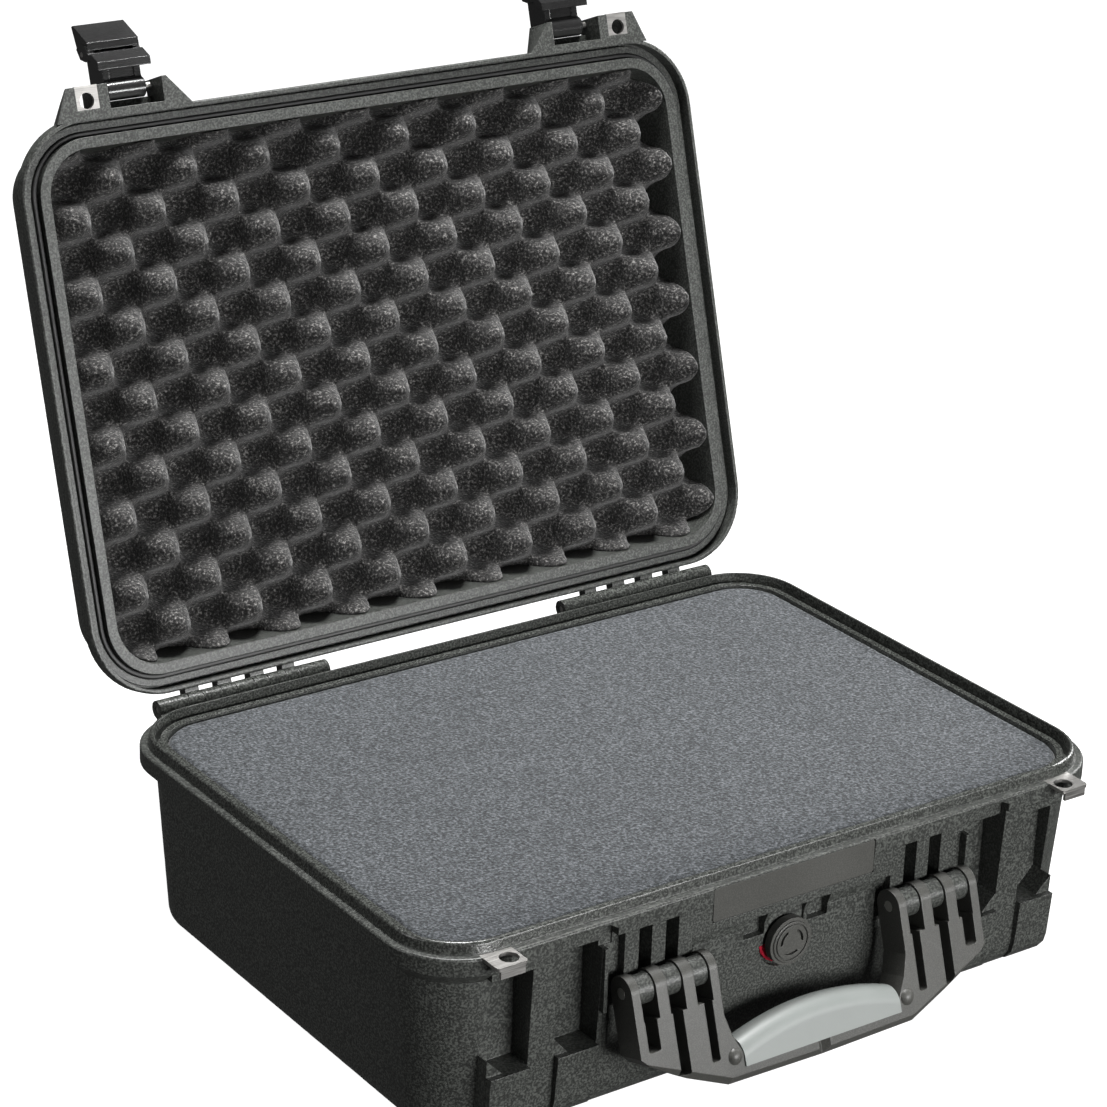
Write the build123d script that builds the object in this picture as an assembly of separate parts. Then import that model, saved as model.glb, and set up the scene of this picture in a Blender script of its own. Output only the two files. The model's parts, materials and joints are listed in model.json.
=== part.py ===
from build123d import *
from math import cos, radians, sin
import os

# Hard equipment case, lid open. Millimetres, +Z up, +X to the right, front towards -Y.
# Origin: centre of the underside. The lid's pieces are drawn closed and then swung open.

# ---- driving dimensions -------------------------------------------------
HALF_X, HALF_Y = 235.0, 168.0          # outer flange, half sizes
CORNER_R = 45.0                        # outer flange corner radius
PARTING_Z = 117.0                      # top face of the base flange
FLANGE_H = 10.0                        # height of the flange's upright face
CHAMFER = 8.5                          # slope below the flange
CLOSED_H = 176.0                       # total height when shut
WALL_IN = 9.5                          # flange face to the outer wall, at the flange
BOTTOM_R = 14.0                        # rounding round the underside
FLOOR_T = 4.5                          # wall and floor thickness

LIP_IN, LIP_OUT = 15.6, 11.6           # inner lip of the base, measured in from the flange face
LIP_TOP = 118.5
TONGUE_IN, TONGUE_OUT = 8.0, 4.4       # tongue that presses on the seal
TONGUE_TOP = 123.5
GROOVE_Z = 112.0

HINGE_Y, HINGE_Z = 176.0, 117.75
LID_OPEN = 106.45                      # degrees from shut
HINGE_R = 5.5
HINGE_PIN_R = 2.0
RUN = 0.05                             # radial running clearance round the pins

HANDLE_Y, HANDLE_Z = -174.0, 75.2
HANDLE_TILT = 18.0                     # degrees forward from hanging
HANDLE_X = 91.0                        # centre of each handle hinge
KNUCKLE_R, KNUCKLE_W, KNUCKLE_PITCH = 8.5, 9.7, 17.6
HANDLE_PIN_R = 3.2

LATCH_X = 154.5                        # centre of each latch
LINK_Y, LINK_Z = -180.4, 133.0         # latch link pivot, lid shut
LINK_LEAN = 28.0                       # degrees the open latch leans up from level, lid shut
LINK_L = 25.2                          # link pivot to lever pivot
LATCH_PIN_R = 2.0
LEVER_PIN_R = 1.5

VALVE_Z = 68.5
SIDES = {"left": -1, "right": 1}


# ---- helpers ------------------------------------------------------------
def block(x0, x1, y0, y1, z0, z1):
    """A box from its two corners."""
    corner = Pos((x0 + x1) / 2, (y0 + y1) / 2, (z0 + z1) / 2)
    return corner * Box(abs(x1 - x0), abs(y1 - y0), abs(z1 - z0))


def ring_sheet(inset, z):
    """The case outline, moved in from the flange face, at height z."""
    return Pos(0, 0, z) * RectangleRounded(2 * (HALF_X - inset), 2 * (HALF_Y - inset),
                                           max(CORNER_R - inset, 6))


def slab(inset, z0, z1):
    return extrude(ring_sheet(inset, z0), z1 - z0)


def frustum(inset0, z0, inset1, z1):
    return loft([ring_sheet(inset0, z0), ring_sheet(inset1, z1)])


def rod_x(x0, x1, y, z, radius):
    """A cylinder along X."""
    return Pos((x0 + x1) / 2, y, z) * Rot(Y=90) * Cylinder(radius, abs(x1 - x0))


def prism_x(points, x0, x1):
    """A (y, z) outline run along X."""
    outline = Plane.YZ.offset(x0) * make_face(Polyline(points, close=True))
    return extrude(outline, x1 - x0)


def prism_y(points, y0, y1):
    """An (x, z) outline run along Y."""
    outline = Plane.XZ.offset(-y0) * make_face(Polyline(points, close=True))
    return extrude(outline, y0 - y1)


def rod_y(y0, y1, radius):
    """A cylinder along Y on the valve's axis."""
    return Pos(0, (y0 + y1) / 2, VALVE_Z) * Rot(X=90) * Cylinder(radius, abs(y1 - y0))


def along_link(points):
    """(along, across) points of the open latch, as (y, z) points of the shut lid."""
    lean = radians(LINK_LEAN)
    return [(LINK_Y - a * cos(lean) + b * sin(lean), LINK_Z + a * sin(lean) + b * cos(lean))
            for a, b in points]


def both_sides(shape):
    """A shape and its mirror image across the middle of the case."""
    return shape + mirror(shape, Plane.YZ)


def place(shape, side):
    """The right-hand shape on the named side."""
    return shape if side > 0 else mirror(shape, Plane.YZ)


def opened(shape):
    """Swing a piece of the shut lid to its open place."""
    hinge = Pos(0, HINGE_Y, HINGE_Z)
    return hinge * Rot(X=-LID_OPEN) * hinge.inverse() * shape


def tilted(shape):
    """Tilt a hanging handle piece forward about the handle's axis."""
    axis = Pos(0, HANDLE_Y, HANDLE_Z)
    return axis * Rot(X=-HANDLE_TILT) * axis.inverse() * shape


# ---- hinge knuckle layout -------------------------------------------------
BASE_ENDS = [(86, 106.2), (181.0, 201)]
BASE_KNUCKLES = [(115.3, 127.3), (137.3, 149.3), (159.3, 171.3)]
LID_KNUCKLES = [(106.5, 115.0), (127.6, 137.0), (149.6, 159.0), (171.6, 180.7)]


def hinge_knuckle(x0, x1, z_root0, z_root1):
    """One knuckle with the arm that joins it to a flange."""
    arm = block(x0, x1, HALF_Y - 2, HINGE_Y, z_root0, z_root1)
    return rod_x(x0, x1, HINGE_Y, HINGE_Z, HINGE_R) + arm


def hinge_bore():
    return rod_x(80, 207, HINGE_Y, HINGE_Z, HINGE_PIN_R + RUN)


# ---- base ---------------------------------------------------------------
RIB_Y = -166.0                          # face of the front ribs under the flange
APRON_Y = -167.6                        # face of the centre panel's apron
APRON_IN, APRON_OUT = 123.3, 196.0      # centre panel edge, and outer edge of the front block
APRON_FOOT = 62.0                       # underside of the apron behind the handle's barrels
NICHE_X = 68.6                          # half width of the taller recess round the valve
SILL_Y = -161.2                         # centre panel below the ledge
LEDGE_Z = 90.0
POCKET_Z = 43.0
POCKET_BACK = -148.0
PADLOCK_POCKET = (170.0, 196.0)
LATCH_POCKET = (126.0, 153.5)
CATCH_Z = 107.0                         # underside of the flange that the hook pulls on


def base_outer():
    body = loft([ring_sheet(16.2, 0), ring_sheet(WALL_IN, 98)])
    body = fillet(body.edges().group_by(Axis.Z)[0], BOTTOM_R)
    flange = slab(0, PARTING_Z - FLANGE_H, PARTING_Z)
    flange = fillet(flange.edges().group_by(Axis.Z)[-1], 1.4)
    slope = frustum(CHAMFER, PARTING_Z - FLANGE_H - CHAMFER, 0, PARTING_Z - FLANGE_H)
    tongue = frustum(TONGUE_OUT, PARTING_Z - 1, TONGUE_OUT + 1.6, TONGUE_TOP)
    tongue = fillet(tongue.edges().group_by(Axis.Z)[-1], 1.8)
    front = prism_x([(-120, 0), (-149, 0), (-156, 3), (-160, 9), (-161.4, 15), (RIB_Y, 104),
                     (RIB_Y, PARTING_Z), (-120, PARTING_Z)], -APRON_OUT, APRON_OUT)
    apron = block(-125.6, 125.6, APRON_Y, -150, APRON_FOOT, PARTING_Z - 2)
    return body + slope + flange + tongue + front + apron


def base_pads():
    """Proud pads under the front pockets, down to the underside."""
    pads = Part()
    for x0, x1 in (PADLOCK_POCKET, LATCH_POCKET):
        pads += prism_x([(-145, 0.6), (-150, 0.6), (-158, 4), (-163, 10), (-164.6, 16), (-166.8, POCKET_Z),
                         (-145, POCKET_Z)], x0 + 0.5, x1 - 0.5)
    return both_sides(pads)


def base_cavity():
    cavity = loft([ring_sheet(22.5, FLOOR_T), ring_sheet(LIP_IN, LIP_TOP + 1)])
    cavity = fillet(cavity.edges().group_by(Axis.Z)[0], 10)
    bulges = both_sides(block(114, 205, -170, -143, 0, 105))
    inside = slab(LIP_IN, LIP_TOP, TONGUE_TOP + 1)
    return (cavity - bulges) + inside


def seal_groove():
    """The groove between the inner lip and the tongue."""
    channel = slab(TONGUE_IN, GROOVE_Z, TONGUE_TOP + 1) - slab(LIP_OUT, GROOVE_Z - 1, LIP_TOP)
    return channel


def front_pockets():
    """Padlock pocket, latch pocket with its catch notch, and the hook's relief."""
    x0, x1 = PADLOCK_POCKET
    padlock = prism_y([(x0, POCKET_Z), (x1 - 10, POCKET_Z), (x1, POCKET_Z + 10), (x1, 101), (x0, 101)],
                      -180, POCKET_BACK)
    x0, x1 = LATCH_POCKET
    latch = prism_y([(x0, POCKET_Z), (x1 - 9, POCKET_Z), (x1, POCKET_Z + 10), (x1, 103), (x0, 103)],
                    -180, POCKET_BACK)
    notch = prism_y([(118, 100), (x1, 100), (x1, 112), (148, 114.6), (124, 114.6), (118, 111)],
                    -180, -161.4)
    relief = block(133.5, 176, -180, RIB_Y, 90, CATCH_Z)
    return both_sides(padlock + latch + notch + relief)


def sill_cut(half_x, top, y_top):
    """Cutter for the recessed centre panel, up to the given height."""
    return prism_x([(-180, -1), (SILL_Y - 0.3, -1), (SILL_Y - 0.3, 20), (SILL_Y, 60), (y_top, top),
                    (-180, top)], -half_x, half_x)


def valve_recess():
    """Dish for the knob, deeper below the middle, and the seat of the seal ring."""
    dish = rod_y(-173, -160.6, 15.2) + rod_y(-173, -157, 11.5) + rod_y(-159.9, -157, 15.7)
    low = rod_y(-173, -157, 17.4) & block(-20, 20, -180, -150, VALVE_Z - 20, VALVE_Z - 1)
    return dish + low + block(-12.2, 12.2, -173, -160.6, VALVE_Z, LEDGE_Z - 1.5)


def centre_panel():
    """The recess that the handle and valve sit in, and what is cut into it and the apron."""
    sill = sill_cut(APRON_IN, APRON_FOOT, SILL_Y)
    niche = sill_cut(NICHE_X, LEDGE_Z - 8, SILL_Y - 1)
    niche += prism_x([(-180, LEDGE_Z - 9), (SILL_Y - 0.9, LEDGE_Z - 9), (SILL_Y - 1, LEDGE_Z - 8),
                      (SILL_Y - 4, LEDGE_Z), (-180, LEDGE_Z)], -NICHE_X, NICHE_X)
    windows = both_sides(block(14.9, 29, -173, -157.2, 75, LEDGE_Z + 0.5))
    slots = Part()
    for centre in (82.2, 99.8):
        slots += block(centre - 4.25, centre + 4.25, -173, -157, APRON_FOOT - 2, 106.5)
    slots += block(113.3, 123.3, -173, -162.2, APRON_FOOT - 2, 106.5)
    plate = block(-55.6, 55.6, -173, -166.6, 95.7, 116.2)
    return sill + niche + valve_recess() + windows + both_sides(slots) + plate


def handle_knuckles():
    """Three knuckles for each end of the handle, on webs from the centre panel."""
    knuckles = Part()
    for step in (-1, 0, 1):
        x0 = HANDLE_X + step * KNUCKLE_PITCH - KNUCKLE_W / 2
        x1 = x0 + KNUCKLE_W
        web = prism_x([(-155, 58), (-160, 60), (HANDLE_Y, HANDLE_Z - KNUCKLE_R),
                       (HANDLE_Y, HANDLE_Z), (-155, HANDLE_Z)], x0, x1)
        knuckle = rod_x(x0, x1, HANDLE_Y, HANDLE_Z, KNUCKLE_R) + web
        notch = block(x0 + 2, x1 - 2, HANDLE_Y + 1.5, APRON_Y - 0.2, HANDLE_Z + 4.6, HANDLE_Z + 12)
        knuckles += knuckle - notch
    return both_sides(knuckles)


def base_shell():
    shell = base_outer() - base_cavity() - seal_groove() - front_pockets() + base_pads()
    shell = shell - centre_panel() + handle_knuckles()
    for x0, x1 in BASE_ENDS + BASE_KNUCKLES:
        knuckle = hinge_knuckle(x0, x1, 108.5, PARTING_Z - 0.2)
        if (x0, x1) in BASE_KNUCKLES:
            knuckle -= block((x0 + x1) / 2 - 2.5, (x0 + x1) / 2 + 2.5, HINGE_Y + 2.6, HINGE_Y + 9,
                             HINGE_Z + 0.5, HINGE_Z + 9)
        shell += both_sides(knuckle)
    shell -= both_sides(hinge_bore())
    shell -= both_sides(rod_x(58, 124, HANDLE_Y, HANDLE_Z, HANDLE_PIN_R + RUN))
    shell -= both_sides(Pos(190, -172, PARTING_Z - 5) * Cylinder(6, 30))
    for side in SIDES.values():
        shell -= place(padlock_plate_base(), side)
    shell -= Pos(0, -150, VALVE_Z) * Rot(X=90) * Cylinder(VALVE_BODY_R, 24)
    return shell


def padlock_plate_base():
    """Stainless plate let into the top of the flange, with its front edge turned down."""
    top = block(183, 202, -179.8, -161, PARTING_Z - 2, PARTING_Z)
    top = fillet(top.edges().filter_by(Axis.Z).group_by(Axis.Y)[0], 2)
    skirt = block(185, 200, -179.8, -178, PARTING_Z - 6.5, PARTING_Z - 2)
    return top + skirt - Pos(190, -172, PARTING_Z) * Cylinder(5.4, 20)


def nameplate():
    plate = block(-55.3, 55.3, APRON_Y - 0.15, -166.6, 96, 115.9)
    return fillet(plate.edges().filter_by(Axis.Y), 1.5)


# ---- valve --------------------------------------------------------------
VALVE_BODY_R = 9.0
VALVE_STEM_R = 3.5


def valve_body():
    body = rod_y(-157, -141, VALVE_BODY_R) + rod_y(-159, -157, 11)
    body -= rod_y(-170, -130, VALVE_STEM_R + RUN)
    return body


def valve_seal():
    ring = rod_y(-159.8, -157, 15.6)
    ring = fillet(ring.edges().group_by(Axis.Y)[0], 1.2)
    return ring - rod_y(-165, -150, 11)


def valve_nut():
    sketch = Plane.XZ.offset(143.6) * Pos(0, VALVE_Z) * RegularPolygon(14, 6)
    return extrude(sketch, 0.1 - 3.6) - rod_y(-150, -120, VALVE_BODY_R)


def valve_stem():
    return rod_y(-164.2, -138, VALVE_STEM_R) + rod_y(-138, -136, 5.4)


def valve_knob():
    """Round knob: stepped rim, a groove, and three arc-shaped finger slots."""
    knob = rod_y(-168.4, -163, 12.4) + rod_y(-167.4, -162.6, 14.2)
    knob = fillet(knob.edges().filter_by(GeomType.CIRCLE).group_by(Axis.Y)[0], 0.8)
    groove = rod_y(-172, -167.5, 11.0) - rod_y(-173, -160, 10.2)
    slots = rod_y(-172, -166.4, 7.8) - rod_y(-173, -160, 6.3)
    for turn in (30, 150, 270):
        slots -= Pos(0, -169, VALVE_Z) * Rot(Y=turn) * Pos(9, 0, 0) * Box(14, 12, 6)
    return knob - groove - slots - rod_y(-164.4, -150, VALVE_STEM_R + RUN)


# ---- handle ---------------------------------------------------------------
EAR_R = 9.6                              # ear radius and half thickness of the handle
EAR_DROP = 16.0                          # the ears widen into the arm below this
EARS = [(62.9, 68.2), (78.6, 85.8), (96.2, 103.4), (113.8, 119.1)]
ARM_WINDOWS = [(69.2, 74.6, 49), (88.6, 95.2, 51), (105.6, 113.4, 33)]   # x span, and depth below the axis
GRIP_HALF = 54.0
GRIP_TOP, GRIP_END, GRIP_LOW = 33.5, 42.0, 56.5   # below the axis: middle of the top, its ends, underside
CORE_T, CORE_TOP = 5.0, 47.0             # half thickness and top of the bar inside the grip
BAR_LOW = 65.5


def handle_frame():
    """Two arms of hinge ears joined by a bowed bar; drawn hanging, then tilted."""
    axis_z = HANDLE_Z
    outline = [(62.9, axis_z), (119.1, axis_z), (119.1, axis_z - 35), (114, axis_z - 40),
               (90, axis_z - 53.5), (64, axis_z - 64.5), (0, axis_z - BAR_LOW), (0, axis_z - CORE_TOP),
               (55, axis_z - CORE_TOP), (59.5, axis_z - 38), (62.9, axis_z - 26)]
    bar = prism_y(outline, HANDLE_Y - EAR_R, HANDLE_Y + EAR_R)
    by_depth = bar.edges().group_by(Axis.Y)
    bar = chamfer(by_depth[0].sort_by(Axis.Z)[0:4] + by_depth[-1].sort_by(Axis.Z)[0:4], 4)
    frame = bar + rod_x(62.9, 119.1, HANDLE_Y, axis_z, EAR_R)
    for index, (x0, x1, depth) in enumerate(ARM_WINDOWS):
        frame -= block(EARS[index][1], EARS[index + 1][0], HANDLE_Y - 20, HANDLE_Y + 20,
                       axis_z - EAR_DROP, axis_z + 20)
        window = block(x0, x1, HANDLE_Y - 20, HANDLE_Y + 20, axis_z - depth, axis_z)
        frame -= fillet(window.edges().filter_by(Axis.Y), 1.5)
    for front, back in ((-30, -CORE_T), (CORE_T, 30)):
        frame -= block(-1, GRIP_HALF + 0.2, HANDLE_Y + front, HANDLE_Y + back,
                       axis_z - GRIP_LOW - 0.2, axis_z)
    frame += Pos(59.8, HANDLE_Y - EAR_R + 2.4, axis_z - 49.5) * Sphere(5.2)
    frame = both_sides(frame)
    frame -= both_sides(rod_x(58, 124, HANDLE_Y, axis_z, HANDLE_PIN_R + RUN))
    return tilted(frame)


def handle_grip():
    """Soft saddle over the bar, crowned along its top and open underneath."""
    end = HANDLE_Z - GRIP_END
    low = HANDLE_Z - GRIP_LOW
    crown = make_face(Polyline((-GRIP_HALF, end), (-GRIP_HALF, low), (GRIP_HALF, low), (GRIP_HALF, end))
                      + ThreePointArc((GRIP_HALF, end), (0, HANDLE_Z - GRIP_TOP), (-GRIP_HALF, end)))
    sleeve = extrude(Plane.XZ.offset(-(HANDLE_Y - 10.5)) * crown, -21)
    top_edges = sleeve.edges().filter_by(GeomType.CIRCLE)
    sleeve = fillet(top_edges, 9.5)
    core = block(-60, 60, HANDLE_Y - CORE_T, HANDLE_Y + CORE_T, low - 20, HANDLE_Z - CORE_TOP)
    return tilted(sleeve - core)


# ---- lid, drawn shut --------------------------------------------------------
LID_Z = PARTING_Z + 0.3                  # face of the lid flange
LID_FLANGE_H = 8.2
CHANNEL_OUT, CHANNEL_IN = 2.6, 11.6      # channel for the tongue and the seal
LID_LIP_IN = 17.8
LID_LIP_Z = 118.9


def lid_outer():
    flange = slab(0, LID_Z, LID_Z + LID_FLANGE_H)
    flange = fillet(flange.edges().group_by(Axis.Z)[0], 1.2)
    slope = frustum(0, LID_Z + LID_FLANGE_H, WALL_IN, LID_Z + LID_FLANGE_H + 8)
    wall = frustum(WALL_IN, LID_Z + 2, 16, CLOSED_H)
    wall = fillet(wall.edges().group_by(Axis.Z)[-1], 19)
    return flange + slope + wall


def lid_inner():
    channel = slab(CHANNEL_OUT, LID_Z - 5, 124.2) - slab(CHANNEL_IN, LID_Z - 6, 130)
    seal_seat = slab(8.2, 120, 128) - slab(CHANNEL_IN, 119, 129)
    dark_line = slab(CHANNEL_OUT, 120, 127) - slab(4.1, 119, 128)
    mouth = slab(CHANNEL_IN - 0.01, LID_Z - 5, LID_LIP_Z)
    cavity = frustum(LID_LIP_IN, LID_LIP_Z - 1, 24, CLOSED_H - FLOOR_T)
    cavity = fillet(cavity.edges().group_by(Axis.Z)[-1], 14)
    return channel + seal_seat + dark_line + mouth + cavity


BRACKET_FOOT = -165.5                    # just clear of the channel's outer wall
BRACKET_Y = -185.0                       # front of the brackets
BRACKET_TOP = 138.0
LATCH_SLOT = (137.0, 172.0)              # x span of the slot the link turns in
LID_HOLE = (186.2, -176.6, 4.6)          # padlock hole: x, y, radius


def latch_bracket():
    """Bracket on the lid's front: sloped cheeks, latch slot and padlock tab."""
    foot = [(117, BRACKET_FOOT), (134, BRACKET_Y), (198.6, BRACKET_Y), (207, BRACKET_FOOT)]
    top = [(129, BRACKET_FOOT), (134, BRACKET_Y + 2), (190, BRACKET_Y + 2), (199, BRACKET_FOOT)]
    sections = []
    for points, z in ((foot, LID_Z), (top, BRACKET_TOP)):
        sections.append(Plane.XY.offset(z) * make_face(Polyline(points, close=True)))
    body = loft(sections)
    body += block(129, 199, BRACKET_FOOT, -157, 128.2, BRACKET_TOP)
    body -= block(*LATCH_SLOT, -190, -174.2, 110, 145)
    body -= block(*LATCH_SLOT, -175, -170.5, 110, BRACKET_TOP - 5)
    body -= block(178.5, 193.1, -190, -171.4, LID_Z + 5.5, 145)
    body -= Pos(LID_HOLE[0], LID_HOLE[1], 120) * Cylinder(5.3, 40)
    body -= padlock_plate_lid()
    return body - rod_x(133.4, 177, LINK_Y, LINK_Z, LATCH_PIN_R + RUN)


def lid_shell():
    shell = lid_outer() - lid_inner()
    shell += both_sides(latch_bracket())
    for x0, x1 in LID_KNUCKLES:
        shell += both_sides(hinge_knuckle(x0, x1, HINGE_Z + 0.6, 125.5))
    return opened(shell - both_sides(hinge_bore()))


def lid_gasket():
    seal = slab(8.3, 122.6, 127.9) - slab(CHANNEL_IN - 0.1, 120, 130)
    seal = fillet(seal.edges().group_by(Axis.Z)[0], 1.2)
    return opened(seal)


def padlock_plate_lid():
    plate = block(178.7, 192.9, BRACKET_Y - 0.2, -171.6, LID_Z, LID_Z + 2)
    x, y, radius = LID_HOLE
    return plate - Pos(x, y, LID_Z) * Cylinder(radius, 20)


# ---- foams ---------------------------------------------------------------
def base_foam():
    foam = loft([ring_sheet(22.6, 15.2), ring_sheet(LIP_IN + 0.4, LIP_TOP - 1)])
    return foam - both_sides(block(113, 206, -170, -142.4, 0, 105.6)) - rod_y(-160, -130, 17)


def base_pad():
    pad = loft([ring_sheet(24, FLOOR_T), ring_sheet(23.2, 15)])
    pad = fillet(pad.edges().group_by(Axis.Z)[0], 10)
    return pad - both_sides(block(113, 206, -170, -142.4, 0, 30))


def lid_foam():
    foam = frustum(LID_LIP_IN + 0.6, 120.6, 24.3, CLOSED_H - FLOOR_T)
    foam = fillet(foam.edges().group_by(Axis.Z)[-1], 14.5)
    return opened(foam)


# ---- latches ---------------------------------------------------------------
NECK_HALF, LEVER_HALF, TAB_HALF = 12.2, 17.0, 16.5
LEVER_PIVOT = along_link([(LINK_L, 0)])[0]


def pin_bore(pivot, radius):
    return rod_x(LATCH_X - 30, LATCH_X + 30, *pivot, radius + RUN)


def latch_link():
    """Thick neck between the two pivots, with a shallow panel let into its front."""
    x0, x1 = LATCH_X - NECK_HALF, LATCH_X + NECK_HALF
    eye_y, eye_z = LEVER_PIVOT
    front, back = LINK_Z - 1.5, LINK_Z + 16
    outline = [(LINK_Y, LINK_Z - 5), (LINK_Y - 6.5, front), (-194.6, front), (-198.2, 137),
               (eye_y + 1.6, eye_z - 2.8), (eye_y, eye_z - 3), (eye_y, eye_z + 3),
               (eye_y + 3.6, back), (-183, back), (-177.5, LINK_Z + 10), (-176.5, LINK_Z)]
    neck = prism_x(outline, x0, x1)
    neck += rod_x(x0, x1, LINK_Y, LINK_Z, 6)
    neck += rod_x(x0, x1, eye_y, eye_z, 3)
    neck -= block(x0 + 4, x1 - 4, -193.5, -186.8, front - 5, front + 1.2)
    return neck - pin_bore((LINK_Y, LINK_Z), LATCH_PIN_R) - pin_bore(LEVER_PIVOT, LEVER_PIN_R)


def latch_lever():
    """Hook lip in front of the neck, two cheeks beside it, and a wedge-shaped pull tab."""
    x0, x1 = LATCH_X - LEVER_HALF, LATCH_X + LEVER_HALF
    lip = prism_x(along_link([(7.5, -11.7), (11.5, -13.9), (20.2, -9.4), (20.6, -5.8), (18, -5.9)]), x0, x1)
    cheek = along_link([(17.6, -7), (27, -7), (31, -3), (31, 3.6), (24, 3.6), (19.5, -1)])
    cheeks = prism_x(cheek, x0, LATCH_X - NECK_HALF - 0.4) + prism_x(cheek, LATCH_X + NECK_HALF + 0.4, x1)
    tab = prism_x(along_link([(22.9, -8.2), (26.7, -10.1), (43.6, -1.7), (44, 0), (43, 0.4), (30.3, 3.6),
                              (28.5, 1), (24, -5)]), LATCH_X - TAB_HALF, LATCH_X + TAB_HALF)
    lever = lip + cheeks + tab
    lever -= rod_x(LATCH_X - NECK_HALF - 0.4, LATCH_X + NECK_HALF + 0.4, *LEVER_PIVOT, 5.9)
    return lever - pin_bore(LEVER_PIVOT, LEVER_PIN_R)


def latch_pin():
    return rod_x(134, 176.8, LINK_Y, LINK_Z, LATCH_PIN_R)


def lever_pin():
    return rod_x(LATCH_X - LEVER_HALF, LATCH_X + LEVER_HALF, *LEVER_PIVOT, LEVER_PIN_R)


# ---- hinge and handle pins --------------------------------------------------
def hinge_pin():
    return rod_x(86.5, 200.5, HINGE_Y, HINGE_Z, HINGE_PIN_R)


def handle_pin():
    return rod_x(63.1, 119.3, HANDLE_Y, HANDLE_Z, HANDLE_PIN_R)


# ---- write every piece --------------------------------------------------------
def main():
    os.makedirs("parts", exist_ok=True)
    pieces = {
        "base_shell": base_shell(),
        "base_foam": base_foam(),
        "base_pad": base_pad(),
        "nameplate": nameplate(),
        "valve_body": valve_body(),
        "valve_seal": valve_seal(),
        "valve_nut": valve_nut(),
        "valve_stem": valve_stem(),
        "valve_knob": valve_knob(),
        "handle_frame": handle_frame(),
        "handle_grip": handle_grip(),
        "lid_shell": lid_shell(),
        "lid_gasket": lid_gasket(),
        "lid_foam": lid_foam(),
    }
    for name, side in SIDES.items():
        pieces["base_padlock_plate_" + name] = place(padlock_plate_base(), side)
        pieces["hinge_pin_" + name] = place(hinge_pin(), side)
        pieces["handle_pin_" + name] = place(handle_pin(), side)
        pieces["lid_padlock_plate_" + name] = opened(place(padlock_plate_lid(), side))
        pieces["latch_link_" + name] = opened(place(latch_link(), side))
        pieces["latch_lever_" + name] = opened(place(latch_lever(), side))
        pieces["latch_pin_" + name] = opened(place(latch_pin(), side))
        pieces["lever_pin_" + name] = opened(place(lever_pin(), side))
    for name, piece in pieces.items():
        export_step(piece, os.path.join("parts", name + ".step"))


main()
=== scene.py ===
"""Looks of the hard equipment case: materials, foams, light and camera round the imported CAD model."""
import json
import math

import bmesh
import bpy
import numpy as np
from mathutils import Matrix, Vector


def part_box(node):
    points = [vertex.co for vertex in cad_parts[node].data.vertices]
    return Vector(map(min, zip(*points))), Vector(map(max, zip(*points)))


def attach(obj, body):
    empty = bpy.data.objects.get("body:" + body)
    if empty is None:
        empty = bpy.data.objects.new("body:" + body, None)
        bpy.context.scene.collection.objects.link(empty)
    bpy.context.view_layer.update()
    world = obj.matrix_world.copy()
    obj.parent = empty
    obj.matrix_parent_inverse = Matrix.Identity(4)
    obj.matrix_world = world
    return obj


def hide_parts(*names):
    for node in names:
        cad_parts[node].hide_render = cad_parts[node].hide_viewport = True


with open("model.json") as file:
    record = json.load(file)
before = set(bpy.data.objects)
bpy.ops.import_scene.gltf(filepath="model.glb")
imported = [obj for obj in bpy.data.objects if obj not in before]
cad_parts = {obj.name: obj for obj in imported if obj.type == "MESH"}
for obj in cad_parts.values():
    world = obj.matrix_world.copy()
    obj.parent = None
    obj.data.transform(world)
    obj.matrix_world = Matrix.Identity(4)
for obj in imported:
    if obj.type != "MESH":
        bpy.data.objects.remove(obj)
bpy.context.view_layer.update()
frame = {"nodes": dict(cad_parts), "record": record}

# Driving values, in metres and degrees.
HINGE_Y, HINGE_Z = 0.1760, 0.11775      # hinge line of the lid
LID_OPEN = math.radians(106.45)         # how far the lid stands open at rest
CLOSED_H = 0.1760
WALL_T = 0.0045
HALF_X, HALF_Y, CORNER_R = 0.2350, 0.1680, 0.0450
BULGE_Y = -0.1422                       # back of the pocket blocks inside the base
BULGE_X = 0.112                         # the blocks lie further out than this
RIM_LOW, RIM_HIGH = 0.1173, 0.1234      # heights of the polished tongue on the base
RIM_FADE = 0.0004
RIM_ROUGHNESS = 0.24
EDGE_RADIUS = 0.0007                    # softening of the moulded edges
CLEARANCE = 0.0002                      # foams stay this far inside their CAD solids
CAMERA_AT = (-1.0710, -1.42527, 0.9747)
CAMERA_TURN = (35.687, 22.526, 1.948)   # yaw, pitch down, roll
CAMERA_LENS, CAMERA_SENSOR = 111.78, 36.0
FLOOR_HALF = 14.0


# ---- node helpers ---------------------------------------------------------
def new_material(name):
    mat = bpy.data.materials.new(name)
    mat.use_nodes = True
    tree = mat.node_tree
    tree.nodes.clear()
    out = tree.nodes.new("ShaderNodeOutputMaterial")
    bsdf = tree.nodes.new("ShaderNodeBsdfPrincipled")
    tree.links.new(bsdf.outputs["BSDF"], out.inputs["Surface"])
    return mat, tree, bsdf


def object_coords(tree, scale=(1, 1, 1)):
    coords = tree.nodes.new("ShaderNodeTexCoord")
    mapping = tree.nodes.new("ShaderNodeMapping")
    mapping.inputs["Scale"].default_value = scale
    tree.links.new(coords.outputs["Object"], mapping.inputs["Vector"])
    return mapping.outputs["Vector"]


def noise(tree, vector, scale, detail=3.0, rough=0.6):
    node = tree.nodes.new("ShaderNodeTexNoise")
    node.inputs["Scale"].default_value = scale
    node.inputs["Detail"].default_value = detail
    node.inputs["Roughness"].default_value = rough
    tree.links.new(vector, node.inputs["Vector"])
    return node.outputs["Fac"]


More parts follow.
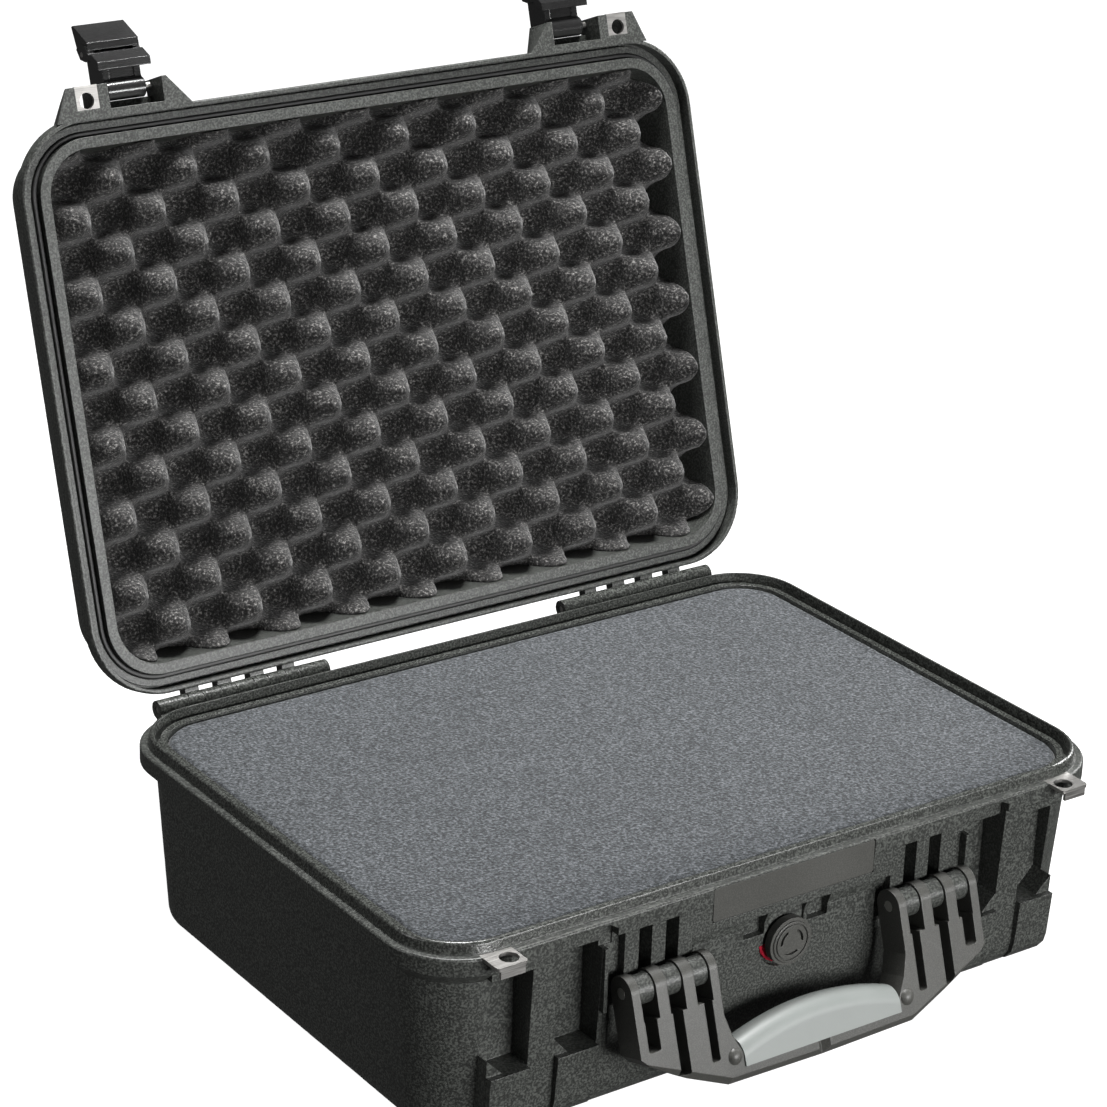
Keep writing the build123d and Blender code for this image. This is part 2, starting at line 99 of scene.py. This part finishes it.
def cells(tree, vector, scale):
    node = tree.nodes.new("ShaderNodeTexVoronoi")
    node.feature = "F1"
    node.inputs["Scale"].default_value = scale
    tree.links.new(vector, node.inputs["Vector"])
    return node.outputs["Distance"]


def ramp(tree, value, stops):
    """A colour ramp; stops are (position, (r, g, b))."""
    node = tree.nodes.new("ShaderNodeValToRGB")
    elements = node.color_ramp.elements
    while len(elements) < len(stops):
        elements.new(0.5)
    for element, (position, colour) in zip(elements, stops):
        element.position = position
        element.color = (*colour, 1)
    tree.links.new(value, node.inputs["Fac"])
    return node.outputs["Color"]


def remap(tree, value, low, high, to_low, to_high):
    node = tree.nodes.new("ShaderNodeMapRange")
    limits = {"From Min": low, "From Max": high, "To Min": to_low, "To Max": to_high}
    for socket, number in limits.items():
        node.inputs[socket].default_value = number
    tree.links.new(value, node.inputs["Value"])
    return node.outputs["Result"]


def bump(tree, height, strength, distance, below=None):
    node = tree.nodes.new("ShaderNodeBump")
    node.inputs["Strength"].default_value = strength
    node.inputs["Distance"].default_value = distance
    tree.links.new(height, node.inputs["Height"])
    if below is not None:
        tree.links.new(below, node.inputs["Normal"])
    return node.outputs["Normal"]


def rounded_normal(tree):
    """Normals softened near hard edges, as moulded edges are."""
    node = tree.nodes.new("ShaderNodeBevel")
    node.samples = 6
    node.inputs["Radius"].default_value = EDGE_RADIUS
    return node.outputs["Normal"]


def shade(colour, factor):
    return tuple(min(1.0, channel * factor) for channel in colour)


def multiplied(tree, colour, mottle):
    """One colour output times another."""
    node = tree.nodes.new("ShaderNodeMix")
    node.data_type = "RGBA"
    node.blend_type = "MULTIPLY"
    node.inputs["Factor"].default_value = 1.0
    tree.links.new(colour, node.inputs["A"])
    tree.links.new(mottle, node.inputs["B"])
    return node.outputs["Result"]


def rim_band(tree):
    """1 at the height of the polished tongue, 0 elsewhere."""
    coords = tree.nodes.new("ShaderNodeTexCoord")
    split = tree.nodes.new("ShaderNodeSeparateXYZ")
    tree.links.new(coords.outputs["Object"], split.inputs["Vector"])
    rise = remap(tree, split.outputs["Z"], RIM_LOW, RIM_LOW + RIM_FADE, 0.0, 1.0)
    fall = remap(tree, split.outputs["Z"], RIM_HIGH, RIM_HIGH + RIM_FADE, 1.0, 0.0)
    node = tree.nodes.new("ShaderNodeMath")
    node.operation = "MULTIPLY"
    tree.links.new(rise, node.inputs[0])
    tree.links.new(fall, node.inputs[1])
    return node.outputs["Value"]


# ---- materials --------------------------------------------------------------
def resin(name, colour, roughness, grain, grain_depth, grain_light_paint, specular, polished_rim=False):
    """Moulded plastic: soft mottling and a fine leather-like grain, whose colour follows its height:
    painted highlight on the grain peaks, painted shade in its hollows.
    """
    mat, tree, bsdf = new_material(name)
    place = object_coords(tree)
    fine = noise(tree, place, grain, 2.0, 0.5)
    broad = noise(tree, place, 14.0, 4.0, 0.6)
    # painted light in the grain: peaks painted paler as a highlight, hollows painted darker as shade
    painted_hollow_shade, painted_peak_highlight = shade(colour, 1 - grain_light_paint), shade(colour, 1 + 2.4 * grain_light_paint)
    grain_tone_and_painted_light = ramp(tree, fine, [(0.40, painted_hollow_shade), (0.5, colour), (0.62, painted_peak_highlight)])
    mottle = ramp(tree, broad, [(0.3, (0.86, 0.86, 0.86)), (0.7, (1.0, 1.0, 1.0))])
    tree.links.new(multiplied(tree, grain_tone_and_painted_light, mottle), bsdf.inputs["Base Color"])
    rough = remap(tree, broad, 0.3, 0.7, roughness - 0.05, roughness + 0.06)
    bsdf.inputs["Specular IOR Level"].default_value = specular
    if polished_rim:
        blend = tree.nodes.new("ShaderNodeMix")
        blend.inputs["B"].default_value = RIM_ROUGHNESS
        tree.links.new(rim_band(tree), blend.inputs["Factor"])
        tree.links.new(rough, blend.inputs["A"])
        rough = blend.outputs["Result"]
    tree.links.new(rough, bsdf.inputs["Roughness"])
    tree.links.new(bump(tree, fine, 0.5, grain_depth, rounded_normal(tree)), bsdf.inputs["Normal"])
    return mat


def foam(name, colour, tip_colour, pore_scale, painted_glint_gain):
    """Open-cell foam: pores as small cells painted dark as shade, paler cell walls, and a painted glint
    on the palest of them.
    """
    mat, tree, bsdf = new_material(name)
    place = object_coords(tree)
    pores = noise(tree, place, pore_scale, 2.0, 0.7)
    walls = cells(tree, place, pore_scale * 0.8)
    broad = noise(tree, place, 9.0, 3.0, 0.5)
    # painted shade in the pores, and a painted glint on the palest cell walls
    painted_hollow_shade, painted_glint_colour = shade(colour, 0.35), shade(tip_colour, painted_glint_gain)
    body = ramp(tree, pores, [(0.38, painted_hollow_shade), (0.5, colour), (0.60, tip_colour), (0.70, painted_glint_colour)])
    mottle = ramp(tree, broad, [(0.3, (0.9, 0.9, 0.9)), (0.7, (1.0, 1.0, 1.0))])
    tree.links.new(multiplied(tree, body, mottle), bsdf.inputs["Base Color"])
    bsdf.inputs["Roughness"].default_value = 0.95
    bsdf.inputs["Specular IOR Level"].default_value = 0.15
    bsdf.inputs["Sheen Weight"].default_value = 0.15
    coarse = bump(tree, walls, 0.5, 0.0006)
    tree.links.new(bump(tree, pores, 0.6, 0.0005, coarse), bsdf.inputs["Normal"])
    return mat


def rubber(name, colour, roughness):
    """Soft matte or satin rubber."""
    mat, tree, bsdf = new_material(name)
    place = object_coords(tree)
    fine = noise(tree, place, 1500.0, 2.0, 0.5)
    broad = noise(tree, place, 40.0, 3.0, 0.5)
    tone = ramp(tree, broad, [(0.3, shade(colour, 0.92)), (0.7, colour)])
    rough = remap(tree, broad, 0.3, 0.7, roughness - 0.04, roughness + 0.04)
    tree.links.new(tone, bsdf.inputs["Base Color"])
    tree.links.new(rough, bsdf.inputs["Roughness"])
    tree.links.new(bump(tree, fine, 0.15, 0.0002), bsdf.inputs["Normal"])
    return mat


def steel(name):
    """Brushed stainless steel with faint streaks along X."""
    mat, tree, bsdf = new_material(name)
    place = object_coords(tree, (60, 2500, 2500))
    streaks = noise(tree, place, 1.0, 3.0, 0.6)
    tone = ramp(tree, streaks, [(0.3, (0.34, 0.33, 0.32)), (0.7, (0.52, 0.51, 0.49))])
    tree.links.new(tone, bsdf.inputs["Base Color"])
    tree.links.new(remap(tree, streaks, 0.3, 0.7, 0.30, 0.45), bsdf.inputs["Roughness"])
    tree.links.new(bump(tree, streaks, 0.1, 0.0001), bsdf.inputs["Normal"])
    bsdf.inputs["Metallic"].default_value = 1.0
    return mat


# the resins' sixth number sets their painted grain light, the foams' last number the gain of their
# painted glint
MATERIALS = {
    "case_resin": resin("case_resin", (0.034, 0.036, 0.033), 0.40, 800.0, 0.00030, 0.45, 0.4, True),
    "smooth_resin": resin("smooth_resin", (0.050, 0.050, 0.046), 0.40, 1400.0, 0.00010, 0.12, 0.35),
    "latch_resin": resin("latch_resin", (0.010, 0.010, 0.010), 0.20, 1200.0, 0.00006, 0.20, 0.9),
    "grey_grip": rubber("grey_grip", (0.17, 0.183, 0.175), 0.5),
    "red_seal": rubber("red_seal", (0.62, 0.02, 0.05), 0.35),
    "black_rubber": rubber("black_rubber", (0.008, 0.008, 0.008), 0.5),
    "stainless": steel("stainless"),
    "pluck_foam": foam("pluck_foam", (0.036, 0.040, 0.044), (0.070, 0.075, 0.081), 620.0, 1.7),
    "convoluted_foam": foam("convoluted_foam", (0.022, 0.0215, 0.021), (0.066, 0.064, 0.062),
                            620.0, 3.0),
}


def dress_frame():
    """Every CAD node gets the material of its slot."""
    for part in frame["record"]["subparts"]:
        node = frame["nodes"].get(part["node"])
        if node is None or node.type != "MESH":
            continue
        node.data.materials.clear()
        node.data.materials.append(MATERIALS[part["material_slot"]])


# ---- mesh helpers -------------------------------------------------------------
def make_object(name, vertices, faces, material, smooth=True):
    mesh = bpy.data.meshes.new(name)
    mesh.from_pydata(vertices, [], faces)
    mesh.validate()
    obj = bpy.data.objects.new(name, mesh)
    bpy.context.collection.objects.link(obj)
    mesh.materials.append(MATERIALS[material])
    if smooth:
        mesh.polygons.foreach_set("use_smooth", [True] * len(mesh.polygons))
    return obj


def open_lid_points(points):
    """Points of the shut lid, swung to the open place."""
    points = np.asarray(points, dtype=float).copy()
    y = points[:, 1] - HINGE_Y
    z = points[:, 2] - HINGE_Z
    cos, sin = math.cos(-LID_OPEN), math.sin(-LID_OPEN)
    points[:, 1] = HINGE_Y + y * cos - z * sin
    points[:, 2] = HINGE_Z + y * sin + z * cos
    return points


def rounded_limit(x, y, half_x, half_y, radius):
    """Signed distance to a rounded rectangle, negative inside."""
    dx = np.abs(x) - (half_x - radius)
    dy = np.abs(y) - (half_y - radius)
    outside = np.hypot(np.maximum(dx, 0), np.maximum(dy, 0))
    return outside + np.minimum(np.maximum(dx, dy), 0) - radius


def square_to_rounded(u, v, half_x, half_y, radius):
    """Maps a grid on [-1, 1] squared onto a rounded rectangle, edge to edge."""
    x = u * half_x
    y = v * half_y
    core_x, core_y = half_x - radius, half_y - radius
    dx = np.maximum(np.abs(x) - core_x, 0) / radius
    dy = np.maximum(np.abs(y) - core_y, 0) / radius
    reach = np.maximum(dx, dy)
    length = np.hypot(dx, dy)
    pull = np.where(length > 1e-9, reach / np.maximum(length, 1e-9), 1.0)
    new_x = np.where(dx > 0, np.sign(x) * (core_x + dx * pull * radius), x)
    new_y = np.where(dy > 0, np.sign(y) * (core_y + dy * pull * radius), y)
    both = (dx > 0) & (dy > 0)
    return np.where(both, new_x, x), np.where(both, new_y, y)


# ---- lid foam -------------------------------------------------------------
EGG_X, EGG_Y = 0.0244, 0.0218           # half pitch of the peaks across and along the lid
EGG_X0, EGG_Y0 = 0.0199, 0.0000         # where one peak stands
EGG_TIP, EGG_VALLEY = 0.1192, 0.1520    # heights in the shut lid
EGG_BLUNT = 0.66                        # below 1 the peaks and hollows are blunt
EGG_INSET, EGG_CORNER = 0.0190, 0.0260  # sheet edge in from the flange, and its corner radius
EGG_BACK_GAP = 0.004                    # back of the sheet to the lid's wall
EGG_TAPER = 0.004                       # how far the back edge draws in


def lid_foam():
    """Egg-crate sheet: staggered peaks that point out of the lid, cut off square at the edges."""
    columns, rows = 300, 212
    u = np.linspace(-1, 1, columns)
    v = np.linspace(-1, 1, rows)
    grid_u, grid_v = np.meshgrid(u, v)
    half_x, half_y = HALF_X - EGG_INSET, HALF_Y - EGG_INSET
    x, y = square_to_rounded(grid_u, grid_v, half_x, half_y, EGG_CORNER)
    wave = np.cos(np.pi * (x - EGG_X0) / EGG_X) * np.cos(np.pi * (y - EGG_Y0) / EGG_Y)
    lift = 0.5 + 0.5 * np.sign(wave) * np.abs(wave) ** EGG_BLUNT
    rng = np.random.default_rng(7)
    jitter = rng.normal(0, 0.00025, x.shape)
    z = EGG_VALLEY + (EGG_TIP - EGG_VALLEY) * lift + jitter
    top = np.stack([x, y, z], -1).reshape(-1, 3)
    back_z = CLOSED_H - WALL_T - EGG_BACK_GAP
    edge = boundary_loop(columns, rows)
    shrink = 1 - EGG_TAPER / half_y
    back = np.array([[top[i][0] * shrink, top[i][1] * shrink, back_z] for i in edge])
    vertices = np.vstack([top, back])
    faces = grid_faces(columns, rows)
    offset = len(top)
    count = len(edge)
    for k in range(count):
        nxt = (k + 1) % count
        faces.append((edge[k], edge[nxt], offset + nxt, offset + k))
    faces.append(tuple(range(offset, offset + count)))
    points = open_lid_points(vertices).tolist()
    obj = make_object("lid_egg_crate_foam", points, faces, "convoluted_foam")
    fix_normals(obj)
    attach(obj, "lid")
    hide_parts("lid_foam")


def grid_faces(columns, rows):
    faces = []
    for r in range(rows - 1):
        for c in range(columns - 1):
            a = r * columns + c
            faces.append((a, a + columns, a + columns + 1, a + 1))
    return faces


def boundary_loop(columns, rows):
    low = list(range(columns))
    right = [r * columns + columns - 1 for r in range(1, rows)]
    high = [(rows - 1) * columns + c for c in range(columns - 2, -1, -1)]
    left = [r * columns for r in range(rows - 2, 0, -1)]
    return low + right + high + left


def fix_normals(obj):
    work = bmesh.new()
    work.from_mesh(obj.data)
    bmesh.ops.recalc_face_normals(work, faces=work.faces)
    work.to_mesh(obj.data)
    work.free()


# ---- base foam --------------------------------------------------------------
FOAM_EDGE_R = 0.0022                    # rounding round the top face
FOAM_WAIST_Z, FOAM_TUCK_Z = 0.1062, 0.1050   # where the sides step in past the pocket blocks


def base_foam():
    """Flat pluck foam block with softly rounded edges and a slightly uneven cut face."""
    columns, rows = 220, 150
    u = np.linspace(-1, 1, columns)
    v = np.linspace(-1, 1, rows)
    grid_u, grid_v = np.meshgrid(u, v)
    low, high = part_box("base_foam")
    half_x, half_y = high[0] - CLEARANCE, high[1] - CLEARANCE
    radius = CORNER_R - (HALF_X - high[0])
    x, y = square_to_rounded(grid_u, grid_v, half_x, half_y, radius)
    inside = -rounded_limit(x, y, half_x, half_y, radius)
    sink = np.clip(1 - inside / FOAM_EDGE_R, 0, 1)
    rng = np.random.default_rng(11)
    pits = np.abs(rng.normal(0, 0.00006, x.shape))
    z = high[2] - CLEARANCE - FOAM_EDGE_R * (1 - np.sqrt(1 - sink ** 2)) - pits
    top = np.stack([x, y, z], -1).reshape(-1, 3)
    edge = boundary_loop(columns, rows)
    foot = []
    for i in edge:
        foot.append([top[i][0] * 0.984, max(top[i][1] * 0.978, BULGE_Y), low[2] + CLEARANCE])
    waist = [[top[i][0] * 0.999, top[i][1], FOAM_WAIST_Z] for i in edge]
    tuck = [[top[i][0] * 0.997, max(top[i][1] * 0.997, BULGE_Y), FOAM_TUCK_Z] for i in edge]
    vertices = np.vstack([top, waist, tuck, foot])
    faces = grid_faces(columns, rows)
    count = len(edge)
    rings = [edge] + [list(range(len(top) + k * count, len(top) + (k + 1) * count)) for k in range(3)]
    for upper, lower in zip(rings, rings[1:]):
        for k in range(count):
            nxt = (k + 1) % count
            faces.append((upper[k], upper[nxt], lower[nxt], lower[k]))
    faces.append(tuple(rings[-1]))
    obj = make_object("base_pluck_foam", vertices.tolist(), faces, "pluck_foam")
    fix_normals(obj)
    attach(obj, "base")
    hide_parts("base_foam")


def base_pad():
    """Plain sheet under the pluck foam, with eased edges."""
    low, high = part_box("base_pad")
    radius = 0.024
    ease = 0.002
    levels = [(low[2] + CLEARANCE, 0.0095), (low[2] + 0.006, 0.0015),
              (high[2] - ease, 0.0005), (high[2] - CLEARANCE, ease)]      # height, inset
    u = np.linspace(-1, 1, 40)
    front, right = [(a, -1) for a in u], [(1, a) for a in u[1:]]
    back, left = [(a, 1) for a in u[-2::-1]], [(-1, a) for a in u[-2:0:-1]]
    loop = np.array(front + right + back + left)
    vertices = []
    for z, inset in levels:
        x, y = square_to_rounded(loop[:, 0], loop[:, 1], high[0] - inset, high[1] - inset, radius)
        for a, b in zip(x, y):
            vertices.append([a, max(b, BULGE_Y) if abs(a) > BULGE_X else b, z])
    count = len(loop)
    faces = [tuple(range(count))]
    for level in range(len(levels) - 1):
        for k in range(count):
            nxt = (k + 1) % count
            start = level * count
            faces.append((start + k, start + nxt, start + count + nxt, start + count + k))
    faces.append(tuple(range(3 * count, 4 * count)))
    obj = make_object("base_foam_pad", vertices, faces, "pluck_foam", smooth=False)
    fix_normals(obj)
    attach(obj, "base")
    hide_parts("base_pad")


# ---- stage, light and camera -------------------------------------------------
def stage():
    """White floor and a faint white surround."""
    half = FLOOR_HALF
    corners = [(-half, -half, 0), (half, -half, 0), (half, half, 0), (-half, half, 0)]
    mesh = bpy.data.meshes.new("floor")
    mesh.from_pydata(corners, [], [(0, 1, 2, 3)])
    floor = bpy.data.objects.new("floor", mesh)
    bpy.context.collection.objects.link(floor)
    mat, _, bsdf = new_material("floor_white")
    bsdf.inputs["Base Color"].default_value = (0.2, 0.2, 0.2, 1)
    bsdf.inputs["Roughness"].default_value = 1.0
    bsdf.inputs["Specular IOR Level"].default_value = 0.0
    bsdf.inputs["Emission Color"].default_value = (1, 1, 1, 1)
    bsdf.inputs["Emission Strength"].default_value = 1.0
    mesh.materials.append(mat)
    floor.location.z = -0.0002
    floor.visible_diffuse = False
    floor.visible_glossy = False
    world = bpy.data.worlds.new("studio")
    bpy.context.scene.world = world
    world.use_nodes = True
    background = world.node_tree.nodes["Background"]
    background.inputs["Color"].default_value = (1, 1, 1, 1)
    background.inputs["Strength"].default_value = 0.08


def area_light(name, location, target, size, power):
    light = bpy.data.lights.new(name, "AREA")
    light.shape = "RECTANGLE"
    light.size, light.size_y = size
    light.energy = power
    obj = bpy.data.objects.new(name, light)
    obj.location = location
    direction = Vector(target) - Vector(location)
    obj.rotation_mode = "QUATERNION"
    obj.rotation_quaternion = direction.to_track_quat("-Z", "Y")
    bpy.context.collection.objects.link(obj)


def lights():
    area_light("front", (0.15, -1.8, 0.32), (0.0, -0.15, 0.07), (0.8, 0.45), 36)
    area_light("strip", (0.60, -1.25, 0.38), (-0.05, -0.16, 0.12), (0.55, 0.2), 8)
    area_light("top", (0.20, 0.25, 1.9), (0.0, 0.15, 0.20), (0.5, 0.5), 78)
    area_light("right", (1.35, 0.15, 0.70), (0.2, 0.0, 0.12), (0.5, 0.4), 14)
    area_light("left", (-1.9, 0.3, 0.9), (-0.1, 0, 0.1), (0.7, 0.9), 9)


def camera():
    """Low three-quarter view from the front left."""
    yaw, pitch, roll = (math.radians(angle) for angle in CAMERA_TURN)
    ahead = Vector((math.sin(yaw) * math.cos(pitch), math.cos(yaw) * math.cos(pitch),
                    -math.sin(pitch)))
    level = Vector((math.cos(yaw), -math.sin(yaw), 0))
    upright = level.cross(ahead)
    right = math.cos(roll) * level + math.sin(roll) * upright
    up = -math.sin(roll) * level + math.cos(roll) * upright
    data = bpy.data.cameras.new("camera")
    data.sensor_width = CAMERA_SENSOR
    data.lens = CAMERA_LENS
    data.clip_start, data.clip_end = 0.1, 60
    obj = bpy.data.objects.new("camera", data)
    turn = Matrix((right, up, -ahead)).transposed().to_4x4()
    obj.matrix_world = Matrix.Translation(CAMERA_AT) @ turn
    bpy.context.collection.objects.link(obj)
    bpy.context.scene.camera = obj


camera()
dress_frame()
lid_foam()
base_foam()
base_pad()
stage()
lights()
bpy.context.scene.view_settings.view_transform = "Standard"
